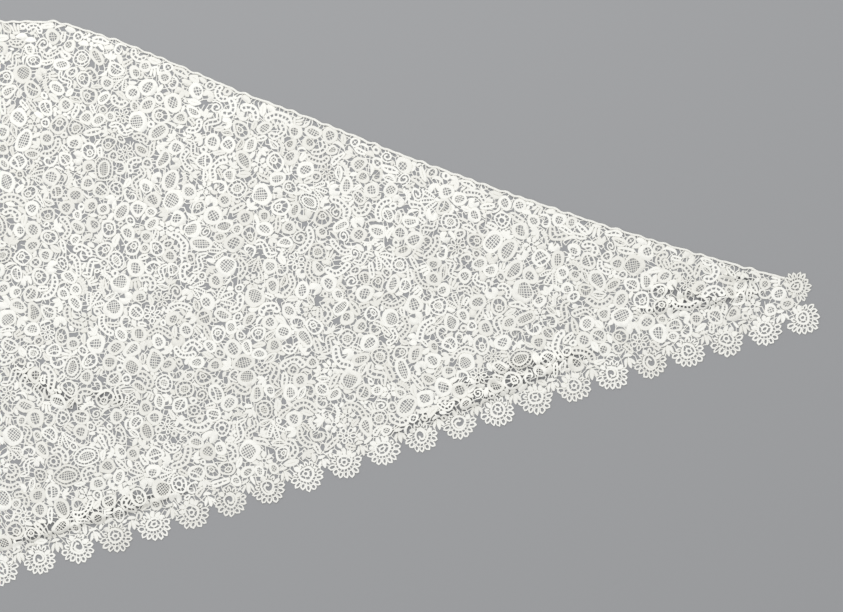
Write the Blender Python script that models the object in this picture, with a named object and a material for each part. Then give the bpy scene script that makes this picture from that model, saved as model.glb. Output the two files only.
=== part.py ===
# Lace shawl: a wide, shallow triangle of worked lace with a scalloped lower edge, laid out flat.
# Metres, +Z up. The origin lies under the middle of the shawl and the neck edge faces +Y.
# The right half (+X) is worked out from the values below and the left half mirrors it.

import math
import random
from collections import namedtuple

import bmesh
import bpy
from mathutils import Matrix, Vector
from mathutils.geometry import delaunay_2d_cdt

# Cloth
WALL = 0.0015               # thickness of the worked lace
SEAM = 0.0003               # gap left where two pieces are joined
MERGE = 0.00001             # the two halves are one where they meet
LACE_COLOUR = (0.86, 0.85, 0.80, 1.0)
LACE_ROUGHNESS = 0.85

# Upper edge of the right half, where the neck braid is joined on: one row for each section.
Section = namedtuple("Section", "x top")
UPPER_EDGE = (
    Section(0.000, 0.3575),
    Section(0.117, 0.3575),
    Section(0.146, 0.3490),
    Section(0.196, 0.3330),
    Section(0.246, 0.3125),
    Section(0.346, 0.2690),
    Section(0.421, 0.2415),
    Section(0.546, 0.1915),
    Section(0.671, 0.1465),
    Section(0.796, 0.1040),
    Section(0.921, 0.0665),
    Section(1.014, 0.0400),
)
FIELD_END = UPPER_EDGE[-1].x    # where the lace ground meets the edging of the tip
BRAID_WIDTH = 0.003
UPPER_EDGE_STEP = 0.035         # longest side of the upper edge's outline

# Lower edge: the line through the notches between the scallops.
NOTCH_LINE_AT_CENTRE = -0.3388
NOTCH_LINE_SLOPE = 0.3115
NOTCH_LINE_BOW = 0.005          # the line sags and rises by this in one long wave
HALF_SPAN = 1.050               # length of that wave, from the centre line to the tip
EDGING_RISE = 0.0183            # from the notch line up to the seam with the ground

# Scallops
SCALLOP_STEP = 0.0477           # from one scallop to the next, measured along X
SCALLOPS_A_SIDE = 22
SCALLOP_RADIUS = 0.022
SCALLOP_LOBES = 9
SCALLOP_SWEEP = math.radians(186)
LOBE_DEPTH = 0.0022             # how far the outline dips between two looped lobes
LOBE_CROWN = 0.56               # share of a lobe's angle that its rounded end takes
CORNER_LOBES = 11
CORNER_SWEEP = math.radians(222)
TIP_LOBES = 10
TIP_START = math.radians(50)
TIP_SWEEP = math.radians(208)
TOP_TIP_CENTRE = (1.0412, 0.0269)
TOP_TIP_RADIUS = 0.0195
TOP_TIP_LOBES = 9
TOP_TIP_START = math.radians(142)
TOP_TIP_SWEEP = math.radians(176)

# The open eye that each scallop has on its upper side, between the shell and the ground
EYE_LENGTH = 0.0068
EYE_WIDTH = 0.0048
EYE_RISE = 0.0128
TIP_EYE = math.radians(165)
TOP_TIP_EYE = math.radians(200)

# The largest gaps between the motifs of the ground, laid out on a loose lattice
GAP_PITCH = 0.0560
GAP_JITTER = 0.013
GAP_LENGTHS = (0.0085, 0.0130)
GAP_WIDTHS = (0.0056, 0.0084)
GAP_CORNERS = (4, 5, 5, 6)
GAP_CORNER_SHIFT = 0.12         # share of a side that a corner may slip along
GAP_FIRST_COLUMN = 0.35         # where the lattice starts, in pitches from the centre line
GAP_MARGIN = 0.013              # from a gap's middle to the outline
GAP_SEED = 7

# Folds of the laid cloth: soft ridges that taper to both ends. A row gives both ends of the crest,
# how far the ridge reaches to each side (front is the side that faces the lower edge) and its height.
Fold = namedtuple("Fold", "x0 y0 x1 y1 front back height")
FOLDS = (
    Fold(0.035, -0.301, 0.290, -0.2255, 0.007, 0.022, 0.0055),
    Fold(0.060, -0.072, 0.150, -0.130, 0.012, 0.016, 0.0040),
    Fold(0.155, -0.104, 0.215, -0.120, 0.010, 0.012, 0.0030),
    Fold(0.530, -0.158, 0.800, -0.050, 0.012, 0.015, 0.0045),
    Fold(0.660, -0.078, 0.770, -0.057, 0.008, 0.011, 0.0055),
    Fold(0.600, -0.100, 0.690, -0.081, 0.009, 0.011, 0.0035),
    Fold(0.835, -0.006, 1.000, 0.020, 0.009, 0.011, 0.0050),
    Fold(0.850, 0.026, 0.930, 0.014, 0.008, 0.009, 0.0040),
    Fold(0.950, 0.042, 0.992, 0.034, 0.006, 0.007, 0.0045),
)
FOLD_TAPER = 0.6                # below 1, a fold keeps its height longer towards its ends
FOLD_STATIONS = 9               # points along a crest
FOLD_RINGS = (-1.0, -0.5, 0.0, 0.5, 1.0)

GROUND_PITCH = 0.048            # spacing of the ground's plain points
POINT_CLEARANCE = 0.0025        # a plain point keeps this far from a gap's edge and from its neighbours


# Edges

def upper_edge(x):
    for here, after in zip(UPPER_EDGE, UPPER_EDGE[1:]):
        if x <= after.x:
            share = (x - here.x) / (after.x - here.x)
            return here.top + share * (after.top - here.top)
    return UPPER_EDGE[-1].top


def notch_line(x):
    wave = NOTCH_LINE_BOW * math.sin(2.0 * math.pi * x / HALF_SPAN)
    return NOTCH_LINE_AT_CENTRE + NOTCH_LINE_SLOPE * x - wave


def seam_line(x):
    return notch_line(x) + EDGING_RISE


def notch_line_angle(x):
    rise = notch_line(x + SCALLOP_STEP) - notch_line(x - SCALLOP_STEP)
    return math.atan2(rise, 2.0 * SCALLOP_STEP)


def polar(centre, radius, angle):
    return (centre[0] + radius * math.cos(angle), centre[1] + radius * math.sin(angle))


def stations(start, end, longest):
    count = max(1, math.ceil(abs(end - start) / longest))
    return [start + (end - start) * i / count for i in range(count + 1)]


def upper_edge_points():
    points = []
    for here, after in zip(UPPER_EDGE, UPPER_EDGE[1:]):
        points += [(x, upper_edge(x)) for x in stations(here.x, after.x, UPPER_EDGE_STEP)[:-1]]
    return points + [(UPPER_EDGE[-1].x, UPPER_EDGE[-1].top)]


# Relief

def fold_taper(run):
    return math.sin(math.pi * run) ** FOLD_TAPER


def fold_reach(fold, side, taper):
    full = fold.back if side > 0.0 else fold.front
    return full * (1.0 + taper) / 2.0


def fold_height(fold, x, y):
    along = Vector((fold.x1 - fold.x0, fold.y1 - fold.y0))
    length = along.length
    along.normalize()
    offset = Vector((x - fold.x0, y - fold.y0))
    run = offset.dot(along) / length
    if run <= 0.0 or run >= 1.0:
        return 0.0
    side = offset.dot(Vector((-along.y, along.x)))
    taper = fold_taper(run)
    across = abs(side) / fold_reach(fold, side, taper)
    if across >= 1.0:
        return 0.0
    return fold.height * taper * 0.5 * (1.0 + math.cos(math.pi * across))


def relief(x, y):
    return max(fold_height(fold, x, y) for fold in FOLDS)


def fold_points():
    points = []
    for fold in FOLDS:
        along = Vector((fold.x1 - fold.x0, fold.y1 - fold.y0))
        side = Vector((-along.y, along.x)).normalized()
        for station in range(FOLD_STATIONS + 1):
            run = station / FOLD_STATIONS
            middle = Vector((fold.x0, fold.y0)) + along * run
            ends = station in (0, FOLD_STATIONS)
            for ring in (0.0,) if ends else FOLD_RINGS:
                spot = middle + side * ring * fold_reach(fold, ring, fold_taper(run))
                points.append((spot.x, spot.y))
    return points


# Gaps of the ground

def gap_outline(dice, x, y):
    long_half = dice.uniform(*GAP_LENGTHS) / 2.0
    short_half = dice.uniform(*GAP_WIDTHS) / 2.0
    turn = dice.uniform(0.0, math.pi)
    corners = dice.choice(GAP_CORNERS)
    outline = []
    for corner in range(corners):
        angle = 2.0 * math.pi * (corner + dice.uniform(-GAP_CORNER_SHIFT, GAP_CORNER_SHIFT)) / corners
        u = long_half * math.cos(angle)
        v = short_half * math.sin(angle)
        outline.append((x + u * math.cos(turn) - v * math.sin(turn),
                        y + u * math.sin(turn) + v * math.cos(turn)))
    return outline


def ground_gaps():
    dice = random.Random(GAP_SEED)
    gaps = []
    row_height = GAP_PITCH * math.sqrt(3.0) / 2.0
    rows = math.ceil((UPPER_EDGE[0].top - seam_line(0.0)) / row_height)
    columns = math.ceil(FIELD_END / GAP_PITCH)
    for row in range(rows + 1):
        for column in range(columns + 1):
            x = GAP_PITCH * (GAP_FIRST_COLUMN + column + 0.5 * (row % 2))
            x += dice.uniform(-GAP_JITTER, GAP_JITTER)
            y = seam_line(0.0) + row * row_height
            y += dice.uniform(-GAP_JITTER, GAP_JITTER)
            outline = gap_outline(dice, x, y)
            inside = GAP_MARGIN < x < FIELD_END - GAP_MARGIN
            if inside and seam_line(x) + GAP_MARGIN < y < upper_edge(x) - GAP_MARGIN:
                gaps.append(outline)
    return gaps


def is_inside(point, outline):
    inside = False
    x, y = point
    for (ax, ay), (bx, by) in zip(outline, outline[1:] + outline[:1]):
        if (ay > y) != (by > y) and x < ax + (y - ay) * (bx - ax) / (by - ay):
            inside = not inside
    return inside


# Finished objects

def lace_material(name):
    material = bpy.data.materials.new(name)
    material.use_nodes = True
    shader = material.node_tree.nodes["Principled BSDF"]
    shader.inputs["Base Color"].default_value = LACE_COLOUR
    shader.inputs["Roughness"].default_value = LACE_ROUGHNESS
    shader.inputs["Metallic"].default_value = 0.0
    return material


def finish(piece, shawl):
    shawl.objects.link(piece)
    piece.data.materials.append(lace_material(piece.name))


def plate(name, outlines, shawl):
    # A flat piece of the lace: a filled outline, with any further outlines as openings in it.
    curve = bpy.data.curves.new(name, "CURVE")
    curve.dimensions = "2D"
    curve.fill_mode = "BOTH"
    curve.extrude = WALL / 2.0
    for outline in outlines:
        spline = curve.splines.new("POLY")
        spline.points.add(len(outline) - 1)
        for point, (x, y) in zip(spline.points, outline):
            point.co = (x, y, 0.0, 1.0)
        spline.use_cyclic_u = True
    piece = bpy.data.objects.new(name, curve)
    piece.location.z = WALL / 2.0
    finish(piece, shawl)


# Ground

def ground_outline():
    lower = [(k * SCALLOP_STEP, seam_line(k * SCALLOP_STEP)) for k in range(SCALLOPS_A_SIDE)]
    lower.append((FIELD_END, seam_line(FIELD_END)))
    upper = upper_edge_points()[::-1]
    middle = [(0.0, y) for y in stations(upper[-1][1], lower[0][1], GROUND_PITCH)[1:-1]]
    return lower + upper + middle


def plain_points(outline, gaps):
    candidates = fold_points()
    row_height = GROUND_PITCH * math.sqrt(3.0) / 2.0
    for row in range(1, math.ceil(2.0 * UPPER_EDGE[0].top / row_height)):
        for column in range(math.ceil(FIELD_END / GROUND_PITCH)):
            candidates.append((GROUND_PITCH * (column + 0.5 + 0.5 * (row % 2)),
                               seam_line(0.0) + row * row_height))
    taken = [Vector(corner) for corner in outline]
    taken += [Vector(corner) for gap in gaps for corner in gap]
    chosen = []
    for candidate in candidates:
        spot = Vector(candidate)
        clear = all((spot - other).length > POINT_CLEARANCE for other in taken)
        in_gap = any(is_inside(candidate, gap) for gap in gaps)
        if clear and not in_gap and is_inside(candidate, outline):
            chosen.append(candidate)
            taken.append(spot)
    return chosen


def make_ground(shawl):
    outline = ground_outline()
    gaps = ground_gaps()
    points = []
    edges = []
    for loop in [outline] + gaps:
        first = len(points)
        points += loop
        edges += [(first + i, first + (i + 1) % len(loop)) for i in range(len(loop))]
    points += plain_points(outline, gaps)
    net = delaunay_2d_cdt([Vector(point) for point in points], edges, [], 0, 1e-7)
    verts, faces = net[0], net[2]

    mesh = bmesh.new()
    corners = [mesh.verts.new((v.x, v.y, relief(v.x, v.y))) for v in verts]
    for face in faces:
        middle = sum((verts[i] for i in face), Vector((0.0, 0.0))) / len(face)
        if is_inside(middle, outline) and not any(is_inside(middle, gap) for gap in gaps):
            mesh.faces.new([corners[i] for i in face])
    loose = [v for v in mesh.verts if not v.link_faces]
    bmesh.ops.delete(mesh, geom=loose, context="VERTS")
    whole = list(mesh.verts) + list(mesh.edges) + list(mesh.faces)
    bmesh.ops.mirror(mesh, geom=whole, matrix=Matrix(), merge_dist=MERGE, axis="X")
    bmesh.ops.recalc_face_normals(mesh, faces=mesh.faces)
    grown = bmesh.ops.extrude_face_region(mesh, geom=mesh.faces)
    upper_side = [item for item in grown["geom"] if isinstance(item, bmesh.types.BMVert)]
    bmesh.ops.translate(mesh, verts=upper_side, vec=(0.0, 0.0, WALL))
    bmesh.ops.recalc_face_normals(mesh, faces=mesh.faces)
    data = bpy.data.meshes.new("lace_ground")
    mesh.to_mesh(data)
    mesh.free()
    ground = bpy.data.objects.new("lace_ground", data)
    finish(ground, shawl)
    print("gaps cut in the ground:", 2 * len(gaps))


# Edging

def lobes(centre, radius, start, sweep, count):
    # The looped edge of a shell, clockwise: for each lobe a dip and the two ends of its crown.
    points = []
    step = sweep / count
    for lobe in range(count):
        middle = start - (lobe + 0.5) * step
        points.append(polar(centre, radius - LOBE_DEPTH, middle + step / 2.0))
        points.append(polar(centre, radius, middle + LOBE_CROWN * step / 2.0))
        points.append(polar(centre, radius, middle - LOBE_CROWN * step / 2.0))
    points.append(polar(centre, radius - LOBE_DEPTH, start - sweep))
    return points


def scallop_centre(k):
    x = k * SCALLOP_STEP
    return (x, notch_line(x))


def notch(k):
    # The notch between scallop k and the next one out.
    x = (k + 0.5) * SCALLOP_STEP
    return (x, notch_line(x))


def eye(centre, towards):
    # A four-cornered opening on the inner side of a shell.
    along = Vector((math.cos(towards), math.sin(towards))) * EYE_WIDTH / 2.0
    across = Vector((-math.sin(towards), math.cos(towards))) * EYE_LENGTH / 2.0
    middle = Vector(polar(centre, EYE_RISE, towards))
    corners = (along + across, across - along, -along - across, along - across)
    return [tuple(middle + corner) for corner in corners]


def mirrored(outline, side):
    return [(side * x, y) for x, y in outline]


def mitre(gap):
    # The seam between the corner scallop and the straight edging, from the notch up to the ground.
    x, y = notch(0)
    return [(x + gap, y), (x + gap, seam_line(x + gap) - SEAM)]


def make_edging(name, side, shawl):
    inner = mitre(SEAM / 2.0)
    inner += [(k * SCALLOP_STEP, seam_line(k * SCALLOP_STEP) - SEAM) for k in range(1, SCALLOPS_A_SIDE)]
    inner.append((FIELD_END + SEAM, seam_line(FIELD_END) - SEAM))
    inner.append((FIELD_END + SEAM, upper_edge(FIELD_END)))

    outer = lobes(TOP_TIP_CENTRE, TOP_TIP_RADIUS, TOP_TIP_START, TOP_TIP_SWEEP, TOP_TIP_LOBES)
    outer += lobes(scallop_centre(SCALLOPS_A_SIDE), SCALLOP_RADIUS, TIP_START, TIP_SWEEP, TIP_LOBES)
    eyes = [eye(TOP_TIP_CENTRE, TOP_TIP_EYE), eye(scallop_centre(SCALLOPS_A_SIDE), TIP_EYE)]
    for k in range(SCALLOPS_A_SIDE - 1, 0, -1):
        centre = scallop_centre(k)
        lean = notch_line_angle(centre[0])
        outer.append(notch(k))
        outer += lobes(centre, SCALLOP_RADIUS, lean - math.pi / 2.0 + SCALLOP_SWEEP / 2.0,
                       SCALLOP_SWEEP, SCALLOP_LOBES)
        eyes.append(eye(centre, lean + math.pi / 2.0))
    plate(name, [mirrored(outline, side) for outline in [inner + outer] + eyes], shawl)


def make_corner_scallop(shawl):
    right = mitre(-SEAM / 2.0)
    centre = scallop_centre(0)
    outer = lobes(centre, SCALLOP_RADIUS, -math.pi / 2.0 + CORNER_SWEEP / 2.0, CORNER_SWEEP, CORNER_LOBES)
    outline = [(0.0, seam_line(0.0) - SEAM)] + right[::-1] + outer + mirrored(right, -1)
    plate("corner_scallop", [outline, eye(centre, math.pi / 2.0)], shawl)


# Neck braid

def make_neck_braid(shawl):
    lower = [(x, y + SEAM) for x, y in upper_edge_points()]
    upper = [(x, y + SEAM + BRAID_WIDTH) for x, y in upper_edge_points()]
    outline = lower[::-1] + mirrored(lower[1:], -1) + mirrored(upper[:0:-1], -1) + upper
    plate("neck_braid", [outline], shawl)


def main():
    for thing in list(bpy.data.objects):
        bpy.data.objects.remove(thing)
    shawl = bpy.data.collections.new("lace_shawl")
    bpy.context.scene.collection.children.link(shawl)
    make_ground(shawl)
    make_edging("edging_right", 1, shawl)
    make_edging("edging_left", -1, shawl)
    make_corner_scallop(shawl)
    make_neck_braid(shawl)


main()
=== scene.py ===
import math
import random
import bpy
import numpy as np
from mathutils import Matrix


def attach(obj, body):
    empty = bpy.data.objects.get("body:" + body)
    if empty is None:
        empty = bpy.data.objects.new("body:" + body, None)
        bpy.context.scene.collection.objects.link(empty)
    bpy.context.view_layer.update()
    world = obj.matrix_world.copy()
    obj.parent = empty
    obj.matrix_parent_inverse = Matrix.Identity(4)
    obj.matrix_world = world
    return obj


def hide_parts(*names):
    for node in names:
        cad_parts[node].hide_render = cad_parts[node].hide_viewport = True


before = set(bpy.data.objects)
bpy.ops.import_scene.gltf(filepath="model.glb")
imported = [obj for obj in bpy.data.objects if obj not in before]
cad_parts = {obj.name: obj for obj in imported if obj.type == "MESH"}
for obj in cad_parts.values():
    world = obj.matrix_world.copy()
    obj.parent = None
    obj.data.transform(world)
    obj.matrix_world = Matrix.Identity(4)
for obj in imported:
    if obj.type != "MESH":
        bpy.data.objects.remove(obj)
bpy.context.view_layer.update()        # the imported shawl's mesh parts, now in world space
mm = 0.001

# The cut of the shawl, in metres. The right half is given, the left half mirrors it.
cloth = {
    "upperX": [0.000, 0.117, 0.146, 0.196, 0.246, 0.346, 0.421, 0.546, 0.671, 0.796, 0.921, 1.014],
    "upperY": [0.3575, 0.3575, 0.349, 0.333, 0.3125, 0.269, 0.2415, 0.1915, 0.1465, 0.104, 0.0665, 0.04],
    "fieldEnd": 1.014,
    "braidWidth": 0.0033,
    "notchAtCentre": -0.3388,
    "notchSlope": 0.3115,
    "notchBow": 0.005,
    "halfSpan": 1.050,
    "edgingRise": 0.0183,
}

# Crest ends, reach in front and behind, and height of each soft fold.
folds = [
    (0.035, -0.301, 0.290, -0.2255, 0.007, 0.022, 0.0055),
    (0.060, -0.072, 0.150, -0.130, 0.012, 0.016, 0.0040),
    (0.155, -0.104, 0.215, -0.120, 0.010, 0.012, 0.0030),
    (0.530, -0.158, 0.800, -0.050, 0.012, 0.015, 0.0045),
    (0.660, -0.078, 0.770, -0.057, 0.008, 0.011, 0.0055),
    (0.600, -0.100, 0.690, -0.081, 0.009, 0.011, 0.0035),
    (0.835, -0.006, 1.000, 0.020, 0.009, 0.011, 0.0050),
    (0.850, 0.026, 0.930, 0.014, 0.008, 0.009, 0.0040),
    (0.950, 0.042, 0.992, 0.034, 0.006, 0.007, 0.0045),
]
foldTaper = 0.6


def upperEdge(x):
    return np.interp(np.abs(x), cloth["upperX"], cloth["upperY"])


def notchLine(x):
    x = np.abs(x)
    wave = cloth["notchBow"] * np.sin(2.0 * np.pi * x / cloth["halfSpan"])
    return cloth["notchAtCentre"] + cloth["notchSlope"] * x - wave


def seamLine(x):
    return notchLine(x) + cloth["edgingRise"]


def relief(x, y):
    x = np.abs(x)
    height = np.zeros_like(x)
    for x0, y0, x1, y1, front, back, rise in folds:
        length = math.hypot(x1 - x0, y1 - y0)
        ax, ay = (x1 - x0) / length, (y1 - y0) / length
        run = ((x - x0) * ax + (y - y0) * ay) / length
        side = (y - y0) * ax - (x - x0) * ay
        taper = np.sin(np.pi * np.clip(run, 0.0, 1.0)) ** foldTaper
        reach = np.where(side > 0.0, back, front) * (1.0 + taper) / 2.0
        across = np.clip(np.abs(side) / reach, 0.0, 1.0)
        height = np.maximum(height, rise * taper * 0.5 * (1.0 + np.cos(np.pi * across)))
    return height


# Largest gaps between the motifs, the same loose lattice as in the solids.
gapPlan = {
    "pitch": 0.0560, "jitter": 0.013, "lengths": (0.0085, 0.0130), "widths": (0.0056, 0.0084),
    "corners": (4, 5, 5, 6), "cornerShift": 0.12, "firstColumn": 0.35, "margin": 0.013, "seed": 7,
}


def turned(x, y, u, v, turn):
    # The point (u, v) turned by so many radians and moved to (x, y).
    c, s = math.cos(turn), math.sin(turn)
    return x + u * c - v * s, y + u * s + v * c


def gapOutline(dice, x, y):
    longHalf = dice.uniform(*gapPlan["lengths"]) / 2.0
    shortHalf = dice.uniform(*gapPlan["widths"]) / 2.0
    turn = dice.uniform(0.0, math.pi)
    corners = dice.choice(gapPlan["corners"])
    outline = []
    for corner in range(corners):
        shift = dice.uniform(-gapPlan["cornerShift"], gapPlan["cornerShift"])
        angle = 2.0 * math.pi * (corner + shift) / corners
        outline.append(turned(x, y, longHalf * math.cos(angle), shortHalf * math.sin(angle), turn))
    return outline


def groundGaps():
    dice = random.Random(gapPlan["seed"])
    pitch, jitter, margin = gapPlan["pitch"], gapPlan["jitter"], gapPlan["margin"]
    bottom = float(seamLine(0.0))
    rowHeight = pitch * math.sqrt(3.0) / 2.0
    rows = math.ceil((cloth["upperY"][0] - bottom) / rowHeight)
    columns = math.ceil(cloth["fieldEnd"] / pitch)
    gaps = []
    for row in range(rows + 1):
        for column in range(columns + 1):
            x = pitch * (gapPlan["firstColumn"] + column + 0.5 * (row % 2))
            x += dice.uniform(-jitter, jitter)
            y = bottom + row * rowHeight
            y += dice.uniform(-jitter, jitter)
            outline = gapOutline(dice, x, y)
            if margin < x < cloth["fieldEnd"] - margin and seamLine(x) + margin < y < upperEdge(x) - margin:
                gaps.append(outline)
    return gaps


# Tapes and bars: every motif is drawn with them, in millimetres, as (x, y, width) along a path.

def arc(cx, cy, rx, ry, start, end, width, steps, turn=0.0):
    points = []
    for i in range(steps + 1):
        angle = math.radians(start + (end - start) * i / steps)
        wide = width(i / steps) if callable(width) else width
        spot = turned(cx, cy, rx * math.cos(angle), ry * math.sin(angle), math.radians(turn))
        points.append(spot + (wide,))
    return points


hand = random.Random(5)


def hoop(cx, cy, rx, ry, width, steps, turn=0.0):
    # Worked by hand, no ring comes out quite round or even.
    points = []
    first, second, third = hand.uniform(0, 6.3), hand.uniform(0, 6.3), hand.uniform(0, 6.3)
    loose = 1.0 if rx > 3.0 else 0.3
    for i, (x, y, wide) in enumerate(arc(cx, cy, rx, ry, 0, 360 - 360 / steps, width, steps - 1, turn)):
        t = 2 * math.pi * i / steps
        swell = 1 + loose * (0.026 * math.sin(2 * t + first) + 0.016 * math.sin(3 * t + second))
        wide *= 1 + 0.13 * loose * math.sin(2 * t + third)
        points.append((cx + (x - cx) * swell, cy + (y - cy) * swell, wide))
    return ("closed", points)


def strip(points):
    return ("open", points)


def leaf(x0, y0, x1, y1, width, bend=0.0, steps=6, blunt=0.6):
    # A close-worked petal: narrow at both ends, widest in the middle.
    points = []
    length = math.hypot(x1 - x0, y1 - y0)
    nx, ny = -(y1 - y0) / length, (x1 - x0) / length
    for i in range(steps + 1):
        s = i / steps
        swell = math.sin(math.pi * s) ** blunt if 0 < i < steps else 0.12
        shift = bend * math.sin(math.pi * s)
        points.append((x0 + (x1 - x0) * s + nx * shift, y0 + (y1 - y0) * s + ny * shift, width * swell))
    return ("open", points)


def bar(x0, y0, x1, y1, width=0.7):
    return ("bar", [(x0, y0, width), (x1, y1, width)])


def net(cx, cy, rx, ry, pitch, turn=0.0, width=1.02):
    # Netting that fills an oval: two sets of slightly uneven bars.
    bars = []
    for along, half, reach in ((0, rx, ry), (1, ry, rx)):
        count = max(2, round(2 * half / pitch))
        for i in range(1, count):
            offset = -half + 2 * half * (i + hand.uniform(-0.13, 0.13)) / count
            if abs(offset) > half * 0.93:
                continue
            span = reach * math.sqrt(1.0 - (offset / half) ** 2) + 0.5
            slant = hand.uniform(-0.2, 0.2)
            ends = ([(offset - slant, -span), (offset + slant, span)] if along == 0
                    else [(-span, offset - slant), (span, offset + slant)])
            (ax, ay), (bx, by) = [turned(cx, cy, u, v, math.radians(turn)) for u, v in ends]
            bars.append(bar(ax, ay, bx, by, width))
    return bars


def spoke(cx, cy, inner, outer, a, width):
    c, s = math.cos(a), math.sin(a)
    return bar(cx + inner * c, cy + inner * s, cx + outer * c, cy + outer * s, width)


def rungs(cx, cy, inner, outer, start, end, count, width=1.0):
    return [spoke(cx, cy, inner, outer, math.radians(start + (end - start) * (i + 0.5) / count), width)
            for i in range(count)]


def rosette(radius, tape, pitch, steps, oval=1.0):
    rx, ry = radius - tape / 2, radius * oval - tape / 2
    hole = radius - tape + 0.1, radius * oval - tape + 0.1
    return [hoop(0, 0, rx, ry, tape, steps)] + net(0, 0, hole[0], hole[1], pitch, turn=20)


def pod(longHalf, shortHalf, tape):
    return [hoop(0, 0, longHalf - tape / 2, shortHalf - tape / 2, tape, 22)] + net(
        0, 0, longHalf - tape + 0.1, shortHalf - tape + 0.1, 2.8, turn=0)


def nestedRosette(x, y, turn):
    # A ring with a smaller netted ring set off-centre in it, held by short bars.
    parts = [hoop(0, 0, 9.0, 8.4, 3.3, 22), hoop(x, y, 3.6, 3.3, 2.3, 14, turn)]
    parts += net(x, y, 2.5, 2.3, 2.3, turn)
    for i in range(7):
        a = math.radians(turn + 360 * i / 7)
        c, s = math.cos(a), math.sin(a)
        parts.append(bar(x + 3.6 * c, y + 3.3 * s, 8.2 * c, 7.6 * s, 1.15))
    return parts


def splitRosette():
    # A round parted by a tape, with netting on one side and two bars on the other.
    parts = [hoop(0, 0, 7.8, 7.6, 3.5, 22), strip([(-6.6, -2.0, 2.2), (0.0, -1.0, 2.4), (6.6, -1.6, 2.2)])]
    for x in (-3.7, -1.2, 1.5, 3.9):
        parts.append(bar(x, -1.4, x + 0.3, math.sqrt(44.0 - x * x), 0.95))
    parts += [bar(-6.2, 2.2, 6.2, 2.0, 0.95), bar(-2.2, -1.4, -3.4, -6.4, 1.2)]
    return parts + [bar(2.2, -1.4, 2.6, -6.8, 1.2)]


def ringedPod():
    parts = [hoop(0, 0, 15.6, 11.6, 2.5, 28), hoop(0, 0, 10.6, 6.9, 3.2, 22)]
    for i in range(18):
        a = 2 * math.pi * (i + 0.5) / 18
        parts.append(bar(11.8 * math.cos(a), 8.1 * math.sin(a), 14.8 * math.cos(a), 10.9 * math.sin(a), 1.1))
    return parts + net(0, 0, 9.1, 5.4, 2.5, turn=0)


def ringedRosette():
    parts = [hoop(0, 0, 10.0, 10.0, 2.3, 22), hoop(0, 0, 5.4, 5.4, 2.8, 16)]
    return parts + rungs(0, 0, 6.5, 9.4, 0, 360, 10, 1.3) + net(0, 0, 4.1, 4.1, 2.3, turn=15)


def cup(outer, inner, shift, squash=1.0):
    # A cupped blossom: a net window set off-centre in a close-worked round.
    points = []
    for i in range(22):
        a = 2 * math.pi * i / 22
        ox, oy = outer * math.cos(a), outer * squash * math.sin(a)
        ix, iy = inner * math.cos(a), shift + inner * squash * math.sin(a)
        points.append(((ox + ix) / 2, (oy + iy) / 2, math.hypot(ox - ix, oy - iy)))
    return [("closed", points)] + net(0, shift, inner + 0.1, inner * squash + 0.1, 2.8, turn=10)


def heart():
    # A close-worked blossom of two broad lobes and a tongue.
    return [leaf(-1.0, -7.5, -4.2, 6.8, 8.6, 2.2, 7, 0.55), leaf(1.0, -7.5, 4.2, 6.8, 8.6, -2.2, 7, 0.55),
            leaf(0, -9.5, 0, 1.0, 5.0, 0.0, 5, 0.6)]


def broadLeaf(length, width):
    half = length / 2
    left = leaf(-half, 0, half, 0, width * 0.52, width * 0.24, 8, 0.5)
    right = leaf(-half, 0, half, 0, width * 0.52, -width * 0.24, 8, 0.5)
    return [left, right]


def hookBand():
    # A thick band bent like a hook with a round end.
    path = [(-8, -6.5, 2.6), (-8.4, -2, 3.2), (-7, 2.6, 3.6), (-3.4, 5.6, 3.9), (1.2, 6, 3.9),
            (5, 3.8, 3.8), (6.2, 0, 3.6), (4.6, -3.6, 3.2), (1.2, -4.4, 2.8), (-0.8, -2.4, 2.4)]
    return [strip(path), bar(-7.4, 0.6, 0, -2.4, 1.0), bar(-2.6, 4.6, -0.4, -1.6, 1.0),
            bar(2.6, 4.6, 1.6, -3.6, 1.0)]


def wheel(radius, tape, spokes):
    parts = [hoop(0, 0, radius - tape / 2, radius - tape / 2, tape, 16), hoop(0, 0, 0.75, 0.75, 1.45, 8)]
    return parts + rungs(0, 0, 1.2, radius - tape + 0.3, 0, 360, spokes, 0.9)


def eyelet(radius, tape):
    return [hoop(0, 0, radius - tape / 2, radius - tape / 2, tape, 14)]


def daisy(petals):
    parts = [hoop(0, 0, 2.5, 2.5, 1.7, 12)]
    for i in range(petals):
        a = 2 * math.pi * i / petals
        c, s = math.cos(a), math.sin(a)
        parts.append(leaf(2.6 * c, 2.6 * s, 10.2 * c, 10.2 * s, 6.0, 0.0, 5, 0.75))
    return parts


def loopFlower(petals):
    parts = [hoop(0, 0, 2.3, 2.3, 1.7, 10)]
    for i in range(petals):
        a = 360 * i / petals
        c, s = math.cos(math.radians(a)), math.sin(math.radians(a))
        parts.append(hoop(6.6 * c, 6.6 * s, 3.0, 2.2, 2.0, 10, a))
    return parts


def slitLeaf(length, width):
    half = length / 2
    rise = width / 2 - 1.5
    thick = lambda s: 3.9 * (0.35 + 0.65 * math.sin(math.pi * s))
    upper = [(-half + length * i / 8, rise * math.sin(math.pi * i / 8), thick(i / 8)) for i in range(9)]
    lower = [(x, -y, w) for x, y, w in upper]
    rib = [(-half + length * i / 4, 0.5 * math.sin(i), 1.5) for i in range(5)]
    parts = [strip(upper), strip(lower), strip(rib)]
    return parts + [bar(-1.0, -rise, -1.6, rise, 1.2), bar(3.6, -rise, 3.0, rise, 1.2)]


def petalSpray(petals, spread, length, width):
    parts = []
    for i in range(petals):
        a = math.radians((i - (petals - 1) / 2) * spread)
        c, s = math.sin(a), math.cos(a)
        parts.append(leaf(1.2 * c, 1.2 * s - 5, length * c, length * s - 5, width, 0.0, 6, 0.7))
    return parts + [leaf(0, -8.5, 0, -2.5, 3.4, 0.0, 4)]


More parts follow.
